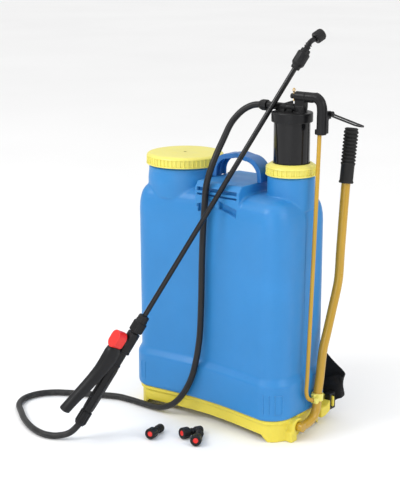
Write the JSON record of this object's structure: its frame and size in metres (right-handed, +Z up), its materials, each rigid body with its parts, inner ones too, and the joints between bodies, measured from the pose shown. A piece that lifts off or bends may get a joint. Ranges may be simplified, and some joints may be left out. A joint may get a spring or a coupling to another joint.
{
  "type": "backpack sprayer",
  "caption": "Lever-operated knapsack sprayer: blue tank on a yellow base, piston pump with air chamber, hose, trigger lance and carrying straps.",
  "frame": {"origin": "on the floor under the middle of the whole object's bounding box, hose left out", "axes": "+Z up, +X towards the pump and pumping lever, -Y the smooth front with the lance, +Y the wearer's side with the straps"},
  "size_m": [0.5582, 0.4722, 0.7409],
  "materials": {
    "blue_tank": "satin blow-moulded polyethylene",
    "blue_handle": "smooth moulding",
    "yellow_plastic": "moulded, semi-gloss",
    "amber_paint": "powder coat, semi-gloss",
    "black_plastic": "moulded, satin",
    "black_gloss": "glossy moulding",
    "hose_pvc": "smooth extruded PVC",
    "seal_rubber": "soft rubber",
    "webbing": "woven polypropylene webbing",
    "pad_cloth": "padded cloth",
    "red_plastic": "smooth moulding",
    "white_plastic": "natural polypropylene",
    "brass": "plain",
    "steel": "zinc plated"
  },
  "bodies": {
    "frame": {"tank": "blue_tank", "base": "yellow_plastic", "carry_handle": "blue_handle", "filler_strainer": "black_plastic", "barrel_gasket": "seal_rubber", "pump_barrel": "white_plastic", "suction_pipe": "white_plastic", "suction_strainer": "black_plastic", "shaft_bush_right": "white_plastic", "shaft_bush_left": "white_plastic", "strap_right": "webbing", "strap_left": "webbing", "shoulder_pad_right": "pad_cloth", "shoulder_pad_left": "pad_cloth", "strap_buckle_right": "black_plastic", "strap_buckle_left": "black_plastic", "strap_bar": "black_plastic", "trigger_hose_nut": "black_plastic", "trigger_body": "black_plastic", "trigger_pin": "steel", "valve_spring": "steel", "lance_lower_nut": "black_plastic", "lance_tube": "black_gloss", "lance_upper_nut": "black_plastic", "nozzle_neck": "black_plastic", "nozzle_core": "black_plastic", "hose": "hose_pvc", "spare_nozzle_1": "black_plastic", "spare_insert_1": "red_plastic", "spare_nozzle_2": "black_plastic", "spare_insert_2": "red_plastic", "spare_nozzle_3": "black_plastic", "spare_insert_3": "red_plastic"},
    "lever_arm": {"lever": "amber_paint", "lever_grip": "black_plastic", "lever_clip": "yellow_plastic", "lever_shaft": "steel", "shaft_washer": "steel"},
    "chamber": {"air_chamber": "black_gloss", "chamber_lid": "black_gloss", "piston_seal": "seal_rubber", "piston_retainer": "white_plastic", "dip_tube": "white_plastic", "pump_hose_nut": "black_plastic"},
    "rod": {"elbow": "black_plastic", "pull_rod": "amber_paint", "link_bush": "yellow_plastic", "cotter_pin": "brass"},
    "loop": {"retaining_loop": "black_plastic"},
    "ring_nut": {"pump_ring_nut": "yellow_plastic"},
    "cap_seal": {"filler_gasket": "seal_rubber"},
    "cap": {"filler_cap": "yellow_plastic", "cap_breather": "seal_rubber"},
    "trigger_lever": {"squeeze_lever": "black_plastic"},
    "valve": {"valve_cap": "red_plastic", "valve_stem": "brass"},
    "nozzle": {"nozzle_cap": "black_plastic"},
    "inlet_valve": {"inlet_ball": "steel"},
    "delivery_valve": {"delivery_ball": "steel"}
  },
  "joints": [
    {"name": "lever_swing", "type": "hinge", "parent": "frame", "child": "lever_arm", "pos_m": [0.1883, 0.06055, 0.027], "axis": [1, 0, 0], "range_deg": [-36, 0]},
    {"name": "chamber_stroke", "type": "slide", "parent": "frame", "child": "chamber", "axis": [0, 0, 1], "range_m": [-0.0294, 0], "deforming": ["hose"]},
    {"name": "rod_tilt", "type": "hinge", "parent": "chamber", "child": "rod", "pos_m": [0.1463, 0.10555, 0.6263], "axis": [1, 0, 0], "range_deg": [0, 1.9]},
    {"name": "loop_lift", "type": "hinge", "parent": "rod", "child": "loop", "pos_m": [0.1903, 0.12555, 0.598], "axis": [1, 0, 0], "range_deg": [0, 70]},
    {"name": "ring_nut_turn", "type": "hinge", "parent": "frame", "child": "ring_nut", "pos_m": [0.1273, 0.10555, 0.4965], "axis": [0, 0, 1], "continuous": true},
    {"name": "cap_lift", "type": "slide", "parent": "frame", "child": "cap_seal", "axis": [0, 0, 1], "range_m": [0, 0.1]},
    {"name": "cap_turn", "type": "hinge", "parent": "cap_seal", "child": "cap", "pos_m": [-0.1087, 0.08855, 0.4926], "axis": [0, 0, 1], "continuous": true},
    {"name": "trigger_squeeze", "type": "hinge", "parent": "frame", "child": "trigger_lever", "pos_m": [-0.08706, -0.14869, 0.16035], "axis": [0.9319, -0.2854, -0.2237], "range_deg": [0, 11], "stiffness_Nm_per_rad": 4, "springref_deg": -11.46},
    {"name": "valve_lift", "type": "slide", "parent": "frame", "child": "valve", "axis": [-0.149, -0.8638, 0.4812], "range_m": [0, 0.0036]},
    {"name": "nozzle_turn", "type": "hinge", "parent": "frame", "child": "nozzle", "pos_m": [0.14418, 0.16101, 0.72869], "axis": [0.3605, 0.7958, 0.4865], "continuous": true},
    {"name": "inlet_ball_lift", "type": "slide", "parent": "frame", "child": "inlet_valve", "axis": [0, 0, 1], "range_m": [0, 0.004]},
    {"name": "delivery_ball_lift", "type": "slide", "parent": "chamber", "child": "delivery_valve", "axis": [0, 0, 1], "range_m": [0, 0.004]}
  ],
  "couplings": [
    {"joint": "chamber_stroke", "follows": "lever_swing", "m_per_rad": 0.04663},
    {"joint": "rod_tilt", "follows": "lever_swing", "ratio": -0.0517},
    {"joint": "valve_lift", "follows": "trigger_squeeze", "m_per_rad": 0.01823}
  ]
}
